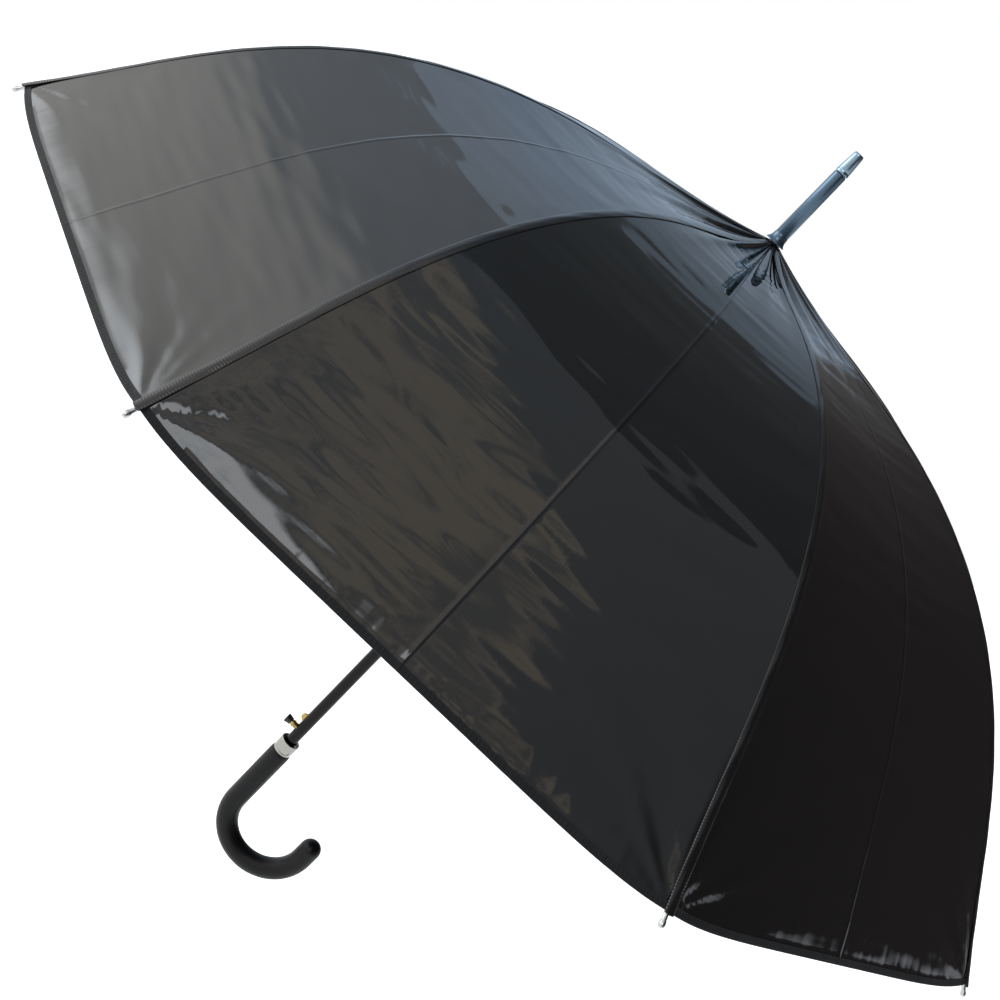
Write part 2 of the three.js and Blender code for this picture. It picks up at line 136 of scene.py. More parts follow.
def rib_curve(s, inset=0.0):
    """Radius, height and slope of a corner line at shares s; a share past 1 runs straight on."""
    s = np.asarray(s, float)
    slope = np.interp(s, SHARE, SLOPE)
    past = np.maximum(s - 1, 0)
    run = (np.interp(s, SHARE, RUN) + past * np.cos(SLOPE[-1])) * RIB_LENGTH
    drop = (np.interp(s, SHARE, DROP) + past * np.sin(SLOPE[-1])) * RIB_LENGTH
    return HUB_RADIUS + run - inset * np.sin(slope), HUB_TOP - drop - inset * np.cos(slope), slope


def rib_bearing(i):
    return (i + 0.5) * 2 * HALF - math.pi / 2


def panel_bearing(i):
    return i * 2 * HALF - math.pi / 2


# ---------- camera ----------
# The umbrella is seen almost square on from its front, a little from above, with the shaft leaning over.
VIEW_AZIMUTH = math.radians(-0.86)
VIEW_ELEVATION = math.radians(16.03)
VIEW_ROLL = math.radians(43.93)
VIEW_DISTANCE = 2.273 * OPEN_RADIUS
LENS_MM, SENSOR_MM = 49.8, 36
AIM = Vector((0, 0, HUB_TOP - 0.35 * OPEN_RADIUS))
# How far the camera stands to its own right and above the line to the aim.
STEP_RIGHT, STEP_UP = -0.1976 * OPEN_RADIUS, -0.1618 * OPEN_RADIUS


def place_camera():
    az, el = VIEW_AZIMUTH, VIEW_ELEVATION
    back = Vector((math.sin(az) * math.cos(el), -math.cos(az) * math.cos(el), math.sin(el)))
    level = Vector((math.cos(az), math.sin(az), 0))
    upright = back.cross(level)
    right = math.cos(VIEW_ROLL) * level + math.sin(VIEW_ROLL) * upright
    up = math.cos(VIEW_ROLL) * upright - math.sin(VIEW_ROLL) * level
    lens = bpy.data.cameras.new("camera")
    lens.lens, lens.sensor_width = LENS_MM, SENSOR_MM
    lens.clip_end = 60
    camera = bpy.data.objects.new("camera", lens)
    bpy.context.collection.objects.link(camera)
    place = AIM + back * VIEW_DISTANCE + right * STEP_RIGHT + up * STEP_UP
    camera.matrix_world = Matrix.Translation(place) @ Matrix((right, up, back)).transposed().to_4x4()
    bpy.context.scene.camera = camera


place_camera()


# ---------- colour and node tools ----------
def linear(hexa):
    """An sRGB hex colour as linear RGBA."""
    values = [int(hexa[k : k + 2], 16) / 255 for k in (1, 3, 5)]
    return [v / 12.92 if v <= 0.04045 else ((v + 0.055) / 1.055) ** 2.4 for v in values] + [1]


def node(tree, kind, settings=None, **links):
    """Adds a node. Settings are its own fields, and links its inputs, by name, or by number as in _0."""
    made = tree.nodes.new(kind)
    for name, value in (settings or {}).items():
        setattr(made, name, value)
    for name, value in links.items():
        socket = made.inputs[int(name[1:])] if name[1:].isdigit() else made.inputs[name.replace("_", " ")]
        if isinstance(value, bpy.types.NodeSocket):
            tree.links.new(value, socket)
        else:
            socket.default_value = value
    return made


def material(name, **sockets):
    """A new material on one Principled shader, with its even values set on the shader's own sockets."""
    made = bpy.data.materials.new(name)
    made.use_nodes = True
    tree = made.node_tree
    tree.nodes.clear()
    shader = node(tree, "ShaderNodeBsdfPrincipled", **sockets)
    node(tree, "ShaderNodeOutputMaterial", Surface=shader.outputs[0])
    return made, tree, shader


# Blender's wave texture draws 3.18 bands to a metre at scale 1.
WAVE_SCALE = 1 / 3.18


def paint(obj, look):
    obj.data.materials.clear()
    obj.data.materials.append(look)


# ---------- finishes ----------
def film_vinyl():
    """Black plasticised PVC film, calendered: wet-looking gloss, faint orange peel and hazy rub marks."""
    look, tree, shader = material("calendered_black_vinyl", Base_Color=linear("#0e0f10"), IOR=1.54)
    place = node(tree, "ShaderNodeTexCoord").outputs["Object"]
    # orange peel of about 3 mm, and rub marks of about 60 mm
    peel = node(tree, "ShaderNodeTexNoise", Vector=place, Scale=1 / (3 * MM), Detail=2.0)
    haze = node(tree, "ShaderNodeTexNoise", Vector=place, Scale=1 / (60 * MM), Detail=5.0, Roughness=0.6)
    rubbed = node(
        tree, "ShaderNodeMapRange", Value=haze.outputs[0],
        From_Min=0.35, From_Max=0.75, To_Min=0.02, To_Max=0.07,
    )
    bump = node(tree, "ShaderNodeBump", Height=peel.outputs[0], Strength=0.04, Distance=0.2 * MM)
    tree.links.new(rubbed.outputs[0], shader.inputs["Roughness"])
    tree.links.new(bump.outputs[0], shader.inputs["Normal"])
    return look


def welded_seam():
    """The same vinyl where two panels are welded over a rib: a little duller, with fine pressed bars."""
    look, tree, shader = material(
        "welded_vinyl_seam", Base_Color=linear("#101113"), Roughness=0.16, IOR=1.54
    )
    along = node(tree, "ShaderNodeUVMap").outputs[0]
    # weld bars every 2 mm, drawn from the strip's own map, which is in metres
    bars = node(
        tree, "ShaderNodeTexWave", {"bands_direction": "Y"},
        Vector=along, Scale=WAVE_SCALE / (2 * MM), Distortion=0.4,
    )
    bump = node(tree, "ShaderNodeBump", Height=bars.outputs["Fac"], Strength=0.25, Distance=0.15 * MM)
    tree.links.new(bump.outputs[0], shader.inputs["Normal"])
    return look


def woven_tape():
    """Black polyester binding tape: a fine plain weave with a soft sheen and painted shade in the hollows
    between its threads, stitched along its upper edge.
    """
    look, tree, shader = material(
        "woven_binding_tape", Roughness=0.6, Specular_IOR_Level=0.25, Sheen_Weight=0.02
    )
    along = node(tree, "ShaderNodeUVMap").outputs[0]
    # threads every 0.8 mm, twice as coarse as the real ones so that they show
    warp, weft = (
        node(
            tree, "ShaderNodeTexWave", {"bands_direction": direction},
            Vector=along, Scale=WAVE_SCALE / (0.8 * MM),
        ).outputs["Fac"]
        for direction in "XY"
    )
    weave = node(tree, "ShaderNodeMath", {"operation": "MULTIPLY"}, _0=warp, _1=weft)
    # painted shade: the hollows between threads are painted darker than the crossing threads
    weave_painted_shade = node(
        tree, "ShaderNodeMix", {"data_type": "RGBA"},
        _0=weave.outputs[0], _6=linear("#07090b"), _7=linear("#12161b"),
    )
    bump = node(tree, "ShaderNodeBump", Height=weave.outputs[0], Strength=0.6, Distance=0.2 * MM)
    tree.links.new(weave_painted_shade.outputs[2], shader.inputs["Base Color"])
    tree.links.new(bump.outputs[0], shader.inputs["Normal"])
    return look


def worn_metal(name, colour, roughness, grain_mm, metallic=1.0, **sockets):
    """A metal or lacquered metal with a faint drawn grain and uneven polish."""
    look, tree, shader = material(
        name, Base_Color=linear(colour), Roughness=roughness, Metallic=metallic, **sockets
    )
    place = node(tree, "ShaderNodeTexCoord").outputs["Object"]
    # the grain is drawn out along Z
    stretch = node(tree, "ShaderNodeMapping", Vector=place, Scale=(1, 1, 0.06))
    grain = node(
        tree, "ShaderNodeTexNoise",
        Vector=stretch.outputs[0], Scale=1 / (grain_mm * MM), Detail=4.0, Roughness=0.6,
    )
    polish = node(
        tree, "ShaderNodeMapRange", Value=grain.outputs[0], From_Min=0.3, From_Max=0.7,
        To_Min=roughness * 0.75, To_Max=roughness * 1.35,
    )
    bump = node(tree, "ShaderNodeBump", Height=grain.outputs[0], Strength=0.08, Distance=0.05 * MM)
    tree.links.new(polish.outputs[0], shader.inputs["Roughness"])
    tree.links.new(bump.outputs[0], shader.inputs["Normal"])
    return look


def moulded_grip():
    """Satin black polyurethane, moulded with a fine leather grain, polished where the hand rubs."""
    look, tree, shader = material(
        "moulded_grip", Base_Color=linear("#08090b"), Roughness=0.4, Specular_IOR_Level=0.2
    )
    place = node(tree, "ShaderNodeTexCoord").outputs["Object"]
    # grain cells of about 1.6 mm, and hand wear in patches of about 30 mm
    cells = node(
        tree, "ShaderNodeTexVoronoi", {"feature": "DISTANCE_TO_EDGE"}, Vector=place, Scale=1 / (1.6 * MM)
    )
    wear = node(tree, "ShaderNodeTexNoise", Vector=place, Scale=1 / (30 * MM), Detail=3.0)
    creases = node(tree, "ShaderNodeMapRange", Value=cells.outputs[0], From_Min=0.0, From_Max=0.12)
    polish = node(
        tree, "ShaderNodeMapRange", Value=wear.outputs[0],
        From_Min=0.35, From_Max=0.7, To_Min=0.36, To_Max=0.5,
    )
    bump = node(tree, "ShaderNodeBump", Height=creases.outputs[0], Strength=0.3, Distance=0.12 * MM)
    tree.links.new(polish.outputs[0], shader.inputs["Roughness"])
    tree.links.new(bump.outputs[0], shader.inputs["Normal"])
    return look


def moulded_nylon():
    """Black moulded nylon with a fine spark-eroded texture."""
    look, tree, shader = material("moulded_nylon", Base_Color=linear("#151617"), Roughness=0.4, IOR=1.53)
    place = node(tree, "ShaderNodeTexCoord").outputs["Object"]
    grit = node(tree, "ShaderNodeTexNoise", Vector=place, Scale=1 / (0.6 * MM), Detail=3.0)
    bump = node(tree, "ShaderNodeBump", Height=grit.outputs[0], Strength=0.2, Distance=0.05 * MM)
    tree.links.new(bump.outputs[0], shader.inputs["Normal"])
    return look


VINYL = film_vinyl()
SEAM = welded_seam()
TAPE = woven_tape()
GRIP = moulded_grip()
NYLON = moulded_nylon()
LACQUER = worn_metal("gloss_lacquered_steel", "#040405", 0.12, 3.0, 0.0, Specular_IOR_Level=0.2)
FERRULE = worn_metal("blue_black_lacquer", "#4c5f70", 0.2, 4.0, 0.8)
CHROME = worn_metal("bright_chrome_plate", "#9b9a94", 0.1, 2.0)
TIP_METAL = worn_metal("nickel_plated_tip", "#b4b7b8", 0.22, 1.0)
BRASS = worn_metal("stamped_brass", "#a8925a", 0.24, 1.0)
RIB_STEEL = worn_metal("black_coated_rib_steel", "#1a1b1d", 0.32, 1.0, 0.3)
CAP_METAL = worn_metal("steel_blue_cap", "#7f96a8", 0.2, 4.0, 0.9)
BARE_STEEL = worn_metal("drawn_spring_steel", "#8d9092", 0.3, 0.8)


# ---------- the film ----------
rng = np.random.default_rng(11)
SAG = 3 * MM
# The fold line down a panel: its height, its half width, and the share of the length over which it rises.
CREASE_HEIGHT, CREASE_WIDTH, CREASE_START = 0.26 * MM, 1.3 * MM, 0.1
HEM_CURL, CURL_REACH = 1.9 * MM, 15 * MM
# How far the folds reach from a tip, the gathers from the hem and the pleats from the hub.
TIP_REACH, HEM_REACH, HUB_REACH = 46 * MM, 12 * MM, 100 * MM
TIP_FALLOFF = 1.3
# Folds at the tips and pleats at the hub: how many waves to a full turn, and how steep.
TIP_FOLDS = ((5, 0.07), (9, 0.12), (14, 0.09), (21, 0.04))
HUB_PLEATS = ((17, 0.5), (29, 0.45), (47, 0.35), (71, 0.2))
# A fold sets in where its wave, over 2 pi, is longer than this share of the finest size.
FINEST_FOLD, FOLD_ONSET = 1.6 * MM, 0.3
# Gathers along the hem: pitch and height, in mm.
HEM_GATHERS = ((7, 0.012), (11, 0.02), (18, 0.035), (37, 0.06))
# Ripples laid over one another, the height of each as a share of its pitch, and their pitches and widths.
WAVES, WAVE_SLOPE = 48, 0.0007
FINEST_WAVE, PITCH_RANGE, WAVE_WIDTHS = 11 * MM, 7, (70 * MM, 320 * MM)
# Widths along the seams in which folds and ripples fade out, and the share of the width for pleats.
FOLD_FADE, RIPPLE_FADE, PLEAT_FADE = 5 * MM, 25 * MM, 0.15


def panel_traits():
    """The chance part of one panel: where its folds fall and how its film ripples."""
    return {
        "tips": rng.uniform(0, 2 * math.pi, (2, 4)),
        "hub": rng.uniform(0, 2 * math.pi, 4),
        "hem": rng.uniform(0, 2 * math.pi, 4),
        "along": FINEST_WAVE * PITCH_RANGE ** rng.uniform(0, 1, WAVES),
        "across": rng.uniform(*WAVE_WIDTHS, WAVES),
        "phase": rng.uniform(0, 2 * math.pi, WAVES),
        "sign": rng.choice([-1.0, 1.0], WAVES),
    }


TRAITS = [panel_traits() for _ in range(RIBS)]


def soft_step(x):
    x = np.clip(x, 0, 1)
    return x * x * (3 - 2 * x)


def film_relief(i, s, v, radius):
    """How far the film of panel i stands off the flat panel, with its sag, fold line, gathers and ripples."""
    trait = TRAITS[i]
    half = radius * math.sin(HALF)
    up = (1 - s) * RIB_LENGTH
    across = v * half
    relief = -SAG * np.sin(np.pi * np.clip(s, 0, 1)) * (1 - v * v)
    relief = relief + CREASE_HEIGHT * np.exp(-((across / CREASE_WIDTH) ** 2)) * soft_step(s / CREASE_START)
    # folds that fan out from the two rib tips
    for side, phases in zip((-1, 1), trait["tips"]):
        from_seam = half * (1 - side * v)
        reach = np.hypot(from_seam, up)
        turn = np.arctan2(from_seam, up)
        fan = sum(
            size / count * np.sin(count * turn + phase) * soft_step(reach / count / FINEST_FOLD - FOLD_ONSET)
            for (count, size), phase in zip(TIP_FOLDS, phases)
        )
        fade = np.exp(-((reach / TIP_REACH) ** TIP_FALLOFF)) * soft_step(from_seam / FOLD_FADE)
        relief = relief + fan * reach * fade
    # short gathers along the stitched hem
    hem = sum(
        size * np.sin(2 * np.pi * across / (pitch * MM) + phase)
        for (pitch, size), phase in zip(HEM_GATHERS, trait["hem"])
    )
    relief = relief + (hem * MM) * np.exp(-np.maximum(up, 0) / HEM_REACH)
    # the hem itself, drawn in by its tape
    relief = relief - HEM_CURL * np.exp(-np.maximum(up, 0) / CURL_REACH)
    # pleats that run out from the hub
    bearing = v * HALF
    pleats = sum(
        size / count * np.sin(count * bearing + phase)
        for (count, size), phase in zip(HUB_PLEATS, trait["hub"])
    )
    off_seam = soft_step((1 - np.abs(v)) / PLEAT_FADE)
    relief = relief + pleats * radius * np.exp(-((radius / HUB_REACH) ** 2)) * off_seam
    # slow ripples, much longer across the panel than along it
    waves = zip(trait["along"], trait["across"], trait["phase"], trait["sign"])
    ripple = 0
    for pitch, wide, phase, sign in waves:
        turns = up / pitch + sign * across / wide
        ripple = ripple + WAVE_SLOPE * pitch * np.sin(2 * np.pi * turns + phase)
    return relief + ripple * soft_step((1 - np.abs(v)) * half / RIPPLE_FADE)


def turned_about_z(x, y, z, bearing):
    """Points set out along X, turned to a bearing."""
    c, d = math.cos(bearing), math.sin(bearing)
    return np.stack([x * c - y * d, x * d + y * c, z], axis=-1)


def panel_points(i, s, v, lift=0.0):
    """Points of panel i at shares s and places v across it, from -1 at one seam to 1 at the other."""
    radius, height, slope = rib_curve(s)
    steep = np.arctan(np.tan(slope) / math.cos(HALF))
    relief = film_relief(i, s, v, radius) + lift
    x = radius * math.cos(HALF) + relief * np.sin(steep)
    y = v * radius * math.sin(HALF)
    z = height + relief * np.cos(steep)
    return turned_about_z(x, y, z, panel_bearing(i))


def hem_line(v):
    """Share of the rib length at which the hem hangs, at a place across the panel."""
    return 1 + HEM_BULGE / RIB_LENGTH * (1 - np.abs(v) ** HEM_SQUARENESS)


def outward(points_at, s, v, step=1e-4):
    """Unit normals of a surface given as a function of s and v."""
    down = points_at(s + step, v) - points_at(s - step, v)
    sideways = points_at(s, v + step) - points_at(s, v - step)
    normal = np.cross(down, sideways)
    return normal / np.linalg.norm(normal, axis=-1, keepdims=True)


def sheet_mesh(name, top, under, normals, uv):
    """A thin closed sheet from two grids of points, with exact normals so that neighbours meet unseen."""
    rows, columns = top.shape[:2]
    count = rows * columns
    grid = np.arange(count).reshape(rows, columns)
    a, b, c, d = grid[:-1, :-1], grid[1:, :-1], grid[1:, 1:], grid[:-1, 1:]
    upper = np.stack([a, b, c, d], -1).reshape(-1, 4)
    lower = np.stack([a, d, c, b], -1).reshape(-1, 4) + count
    rims = []
    for line in (grid[0], grid[:, -1], grid[-1, ::-1], grid[::-1, 0]):
        rims.append(np.stack([line[:-1], line[1:], line[1:] + count, line[:-1] + count], -1))
    faces = np.vstack([upper, lower, *rims])
    mesh = bpy.data.meshes.new(name)
    points = np.vstack([top.reshape(-1, 3), under.reshape(-1, 3)])
    mesh.from_pydata(points.tolist(), [], faces.tolist())
    mesh.polygons.foreach_set("use_smooth", np.ones(len(faces), bool))
    layer = mesh.uv_layers.new(name="strip")
    corner = np.zeros(len(mesh.loops), np.int32)
    mesh.loops.foreach_get("vertex_index", corner)
    layer.data.foreach_set("uv", uv.reshape(-1, 2)[corner % count].astype(np.float32).ravel())
    flat = normals.reshape(-1, 3)
    given = np.vstack([flat, -flat])[corner]
    rim_loops = 4 * (len(upper) + len(lower))
    given[rim_loops:] = 0
    mesh.validate()
    mesh.normals_split_custom_set(given.tolist())
    obj = bpy.data.objects.new(name, mesh)
    bpy.context.collection.objects.link(obj)
    return obj


def follow_rib(obj, i, body, side=0):
    """Goes with rib i. A half panel of film also gets a mesh of its own."""
    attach(obj, f"{body}_{i + 1}")
    if not side:
        return
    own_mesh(obj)


UPPER_ROWS, LOWER_ROWS, COLUMNS = 100, 124, 48
# Fine columns beside the fold line, as shares of half a panel's width, and where the even ones start.
CREASE_COLUMNS = [0, 0.0025, 0.005, 0.0075, 0.011, 0.016, 0.025]
FIRST_COLUMN = 0.04
# Rows lie closer near the hub as this power is larger.
ROW_GROWTH = 1.25


def film_half(i, side, part):
    """One half of a panel's film, above or below the flex line of the ribs."""
    rib = i if side > 0 else (i - 1) % RIBS
    across = np.concatenate([CREASE_COLUMNS, np.linspace(FIRST_COLUMN, 1, COLUMNS)]) * side
    if side < 0:
        across = across[::-1]
    v = across[None, :]
    t = np.linspace(0, 1, (UPPER_ROWS if part == "upper" else LOWER_ROWS) + 1)[:, None]
    if part == "upper":
        s = FILM_START + (FLEX_SHARE - FILM_START) * t**ROW_GROWTH + 0 * v
    else:
        s = FLEX_SHARE + (hem_line(v) - FLEX_SHARE) * t
    v = v + 0 * s

    def place(s, v):
        return panel_points(i, s, v)

    top = place(s, v)
    normals = outward(place, s, v)
    under = top - normals * FILM_THICKNESS
    half = rib_curve(s)[0] * math.sin(HALF)
    uv = np.stack([v * half, s * RIB_LENGTH], -1)
    name = f"film_{i + 1}_{'right' if side > 0 else 'left'}_{part}"
    obj = sheet_mesh(name, top, under, normals, uv)
    paint(obj, VINYL)
    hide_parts(f"canopy_panel_{i + 1}")
    body, support = ("rib_inner", "rib_channel") if part == "upper" else ("rib_outer", "rib_rod")
    follow_rib(obj, rib, body, side)


BAND_HALF, BAND_RAISE, BAND_SINK, BAND_THICKNESS = 3.8 * MM, 0.32 * MM, 0.05 * MM, 0.5 * MM
BAND_ROUNDING = 1.1 * MM
BAND_END, BAND_HUB_SHARE = 1.004, 0.36
# How far out on its rounded section a band is cut off.
BAND_EDGE = 0.985
BAND_ROWS, BAND_COLUMNS = 90, 13
# Long and short unevenness along a band, and how it slants.
LONG_LUMP, SHORT_LUMP, LUMP_SHARE, LUMP_SLANT = 23 * MM, 6.1 * MM, 0.35, 3


def seam_band(i, part):
    """The welded band that wraps over rib i, rounded over the corner of the dome."""
    low, high = (FILM_START, FLEX_SHARE) if part == "upper" else (FLEX_SHARE, BAND_END)
    s = np.linspace(low, high, BAND_ROWS)[:, None]
    w = np.linspace(-1, 1, BAND_COLUMNS)[None, :]
    s, w = s + 0 * w, w + 0 * s

    def place(s, w):
        radius, height, slope = rib_curve(s)
        y = w * np.minimum(BAND_HALF, radius * BAND_HUB_SHARE)
        drop = math.tan(HALF) * (np.sqrt(y * y + BAND_ROUNDING**2) - BAND_ROUNDING)
        along = s * RIB_LENGTH
        slanted = along / SHORT_LUMP + LUMP_SLANT * w
        lumps = 1 + LUMP_SHARE * np.sin(slanted) * np.sin(along / LONG_LUMP + i)
        rise = BAND_RAISE * lumps * np.sqrt(np.maximum(1 - (w * BAND_EDGE) ** 4, 0)) - BAND_SINK
        x = radius - drop + rise * np.sin(slope)
        return turned_about_z(x, y, height + rise * np.cos(slope), rib_bearing(i))

    top = place(s, w)
    normals = outward(place, s, w)
    under = top - normals * BAND_THICKNESS
    uv = np.stack([w * BAND_HALF, s * RIB_LENGTH], -1)
    obj = sheet_mesh(f"seam_band_{i + 1}_{part}", top, under, normals, uv)
    paint(obj, SEAM)
    follow_rib(obj, i, "rib_inner" if part == "upper" else "rib_outer")


TAPE_WIDTH, TAPE_FOLD, TAPE_THICKNESS = 4.8 * MM, 1.3 * MM, 0.35 * MM
TAPE_GAP, TAPE_OVERHANG = 1.2 * MM, 0.6 * MM
STITCH, STITCH_DEPTH = 3.2 * MM, 0.12 * MM
# Share of the tape's girth that each half of the turn round the edge takes.
EDGE_SHARE = 0.15
TAPE_ROWS, TAPE_COLUMNS = 15, 160


def hem_tape(i, side):
    """Binding tape folded over the hem of half a panel, from a rib tip to the panel's middle."""
    rib = i if side > 0 else (i - 1) % RIBS
    half = OPEN_RADIUS * math.sin(HALF)
    v = np.linspace(0, 1, TAPE_COLUMNS) * side * (1 - TAPE_GAP / half)
    if side < 0:
        v = v[::-1]
    turn = np.linspace(0, 1, TAPE_ROWS)
    v, turn = v[None, :] + 0 * turn[:, None], turn[:, None] + 0 * v[None, :]

    def place(turn, v):
        """Down the outside face, round the edge, and back up the inside face."""
        face = np.clip((np.abs(turn - 0.5) - EDGE_SHARE) / (0.5 - EDGE_SHARE), 0, 1)
        bend = np.clip((0.5 - turn) / EDGE_SHARE, -1, 1) * math.pi / 2
        above = -FILM_THICKNESS / 2 + TAPE_FOLD / 2 * np.sin(bend)
        s = hem_line(v) + (TAPE_OVERHANG * np.cos(bend) - TAPE_WIDTH * face) / RIB_LENGTH
        stitched = STITCH_DEPTH * np.sin(2 * np.pi * v * half / STITCH) * np.sin(np.pi * face)
        return panel_points(i, s, v, above + stitched * np.sign(bend))

    top = place(turn, v)
    normals = outward(place, turn, v)
    under = top - normals * TAPE_THICKNESS
    uv = np.stack([v * half, turn * 2 * TAPE_WIDTH], -1)
    obj = sheet_mesh(f"hem_tape_{i + 1}_{'right' if side > 0 else 'left'}", top, under, normals, uv)
    paint(obj, TAPE)
    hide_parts(f"hem_tape_{i + 1}")
    follow_rib(obj, rib, "rib_outer", side)


for panel in range(RIBS):
    for side in (-1, 1):
        for part in ("upper", "lower"):
            film_half(panel, side, part)
        hem_tape(panel, side)
    for part in ("upper", "lower"):
        seam_band(panel, part)


# ---------- modelling tools ----------
def start_piece(name, add, **settings):
    """Adds a primitive with nothing else selected and its place in its mesh, and opens it for editing."""
    bpy.ops.object.select_all(action="DESELECT")
    add(**settings)
    obj = bpy.context.object
    obj.name = obj.data.name = name
    bpy.ops.object.transform_apply(location=True, rotation=True, scale=True)
    bpy.ops.object.mode_set(mode="EDIT")
    bpy.ops.mesh.select_all(action="SELECT")
    return obj


def push(x=0.0, y=0.0, z=0.0):
    bpy.ops.mesh.extrude_region_move(TRANSFORM_OT_translate={"value": (x, y, z)})


def pick(obj, wanted):
    """Selects the faces that a test of centre and normal picks out."""
    bpy.ops.mesh.select_all(action="DESELECT")
    bpy.ops.object.mode_set(mode="OBJECT")
    for face in obj.data.polygons:
        face.select = bool(wanted(face.center, face.normal))
    bpy.ops.object.mode_set(mode="EDIT")
    bpy.ops.mesh.select_mode(type="FACE")


def close_piece(obj, bevel=0.0, segments=2, angle=32):
    """Merges doubles, points the faces out, leaves edit mode, rounds the edges and smooths the faces."""
    if obj.mode == "EDIT":
        bpy.ops.mesh.select_all(action="SELECT")
        bpy.ops.mesh.remove_doubles(threshold=1e-6)
        bpy.ops.mesh.normals_make_consistent(inside=False)
        bpy.ops.object.mode_set(mode="OBJECT")
    bpy.ops.object.select_all(action="DESELECT")
    obj.select_set(True)
    bpy.context.view_layer.objects.active = obj
    if bevel:
        edges = obj.modifiers.new("edges", "BEVEL")
        edges.width, edges.segments = bevel, segments
        edges.limit_method, edges.angle_limit = "ANGLE", math.radians(angle)
        bpy.ops.object.modifier_apply(modifier=edges.name)
    bpy.ops.object.shade_smooth_by_angle(angle=math.radians(angle))
    return obj


def in_mm(*points, above=0.0):
    """Profile points given in millimetres, their heights counted from a level in metres."""
    return [(radius * MM, above + height * MM) for radius, height in points]


def turned(name, profile, sides=48, bevel=0.0, closed=False):
    """A piece turned about Z from (radius, height) pairs; closed ones are rings, the others are capped."""
    radius, z = profile[0]
    obj = start_piece(
        name,
        bpy.ops.mesh.primitive_circle_add,
        vertices=sides,
        radius=radius,
        location=(0, 0, z),
        fill_type="NOTHING" if closed else "NGON",
    )
    for next_radius, next_z in profile[1:] + ([profile[0]] if closed else []):
        push(z=next_z - z)
        scale = next_radius / radius
        bpy.ops.transform.resize(value=(scale, scale, 1), center_override=(0, 0, next_z))
        radius, z = next_radius, next_z
    return close_piece(obj, bevel)


def oblong(name, start, end, radius, width, y=0.0, bevel=0.0, sides=24, groove=0.0):
    """A flat bar with round ends in the XZ plane, between two (x, z) centres."""
    (x0, z0), (x1, z1) = start, end
    length = math.hypot(x1 - x0, z1 - z0)
    obj = start_piece(
        name,
        bpy.ops.mesh.primitive_circle_add,
        vertices=sides,
        radius=radius,
        location=(0, y - width / 2, 0),
        rotation=(math.pi / 2, 0, 0),
        fill_type="NGON",
    )
    push(y=width)
    bpy.ops.mesh.select_all(action="DESELECT")
    bpy.ops.object.mode_set(mode="OBJECT")
    for vertex in obj.data.vertices:
        vertex.select = vertex.co.x > 1e-7
    bpy.ops.object.mode_set(mode="EDIT")
    bpy.ops.transform.translate(value=(length, 0, 0))
    if groove:
        pick(obj, lambda centre, normal: abs(normal.y) > 0.9)
        bpy.ops.mesh.inset(thickness=radius * 0.4)
        bpy.ops.mesh.extrude_region_shrink_fatten(TRANSFORM_OT_shrink_fatten={"value": -groove})
    close_piece(obj, bevel)
    lean = -math.atan2(z1 - z0, x1 - x0)
    obj.data.transform(Matrix.Translation((x0, 0, z0)) @ Matrix.Rotation(lean, 4, "Y"))
    return obj


def join(name, first, *others):
    bpy.ops.object.select_all(action="DESELECT")
    for obj in (first, *others):
        obj.select_set(True)
    bpy.context.view_layer.objects.active = first
    bpy.ops.object.join()
    first.name = first.data.name = name
    return first


def cut_out(obj, *cutters):
    """Takes cutters out of a piece."""
    tool = join("tool", *cutters) if len(cutters) > 1 else cutters[0]
    bpy.ops.object.select_all(action="DESELECT")
    bpy.context.view_layer.objects.active = obj
    cut = obj.modifiers.new("cut", "BOOLEAN")
    cut.operation, cut.solver, cut.object = "DIFFERENCE", "EXACT", tool
    bpy.ops.object.modifier_apply(modifier=cut.name)
    bpy.data.objects.remove(tool)
    return obj


def block(low, high):
    """A plain box, used only as a cutting tool."""
    low, high = np.array(low), np.array(high)
    obj = start_piece("tool", bpy.ops.mesh.primitive_cube_add, size=1, location=tuple((low + high) / 2))
    bpy.ops.transform.resize(value=tuple(high - low), center_override=tuple((low + high) / 2))
    bpy.ops.object.mode_set(mode="OBJECT")
    return obj


def radial_slots(width, root, reach, bottom, top):
    tools = []
    for i in range(RIBS):
        tool = block((root, -width / 2, bottom), (reach, width / 2, top))
        tool.data.transform(Matrix.Rotation(rib_bearing(i), 4, "Z"))
        tools.append(tool)
    return tools


def aim_at_minus_x(obj, height):
    """Lays a piece turned about Z along -X, with its own zero on the shaft axis at a height."""
    obj.data.transform(Matrix.Translation((0, 0, height)) @ Matrix.Rotation(-math.pi / 2, 4, "Y"))
    return obj


def fit(obj, node_name, look, body="root"):
    """Finishes a piece that stands for one CAD node."""
    paint(obj, look)
    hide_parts(node_name)
    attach(obj, body)
    return obj


# ---------- handle ----------
GRIP_RADIUS = 11 * MM
CROOK_BEND, CROOK_STRAIGHT, CROOK_TAIL = 44.5 * MM, 71.5 * MM, 13 * MM
CROOK_STEPS, END_STEPS, END_TURN = 40, 8, math.radians(80)
SHAFT_RADIUS, SHAFT_BORE = 6 * MM, 5 * MM


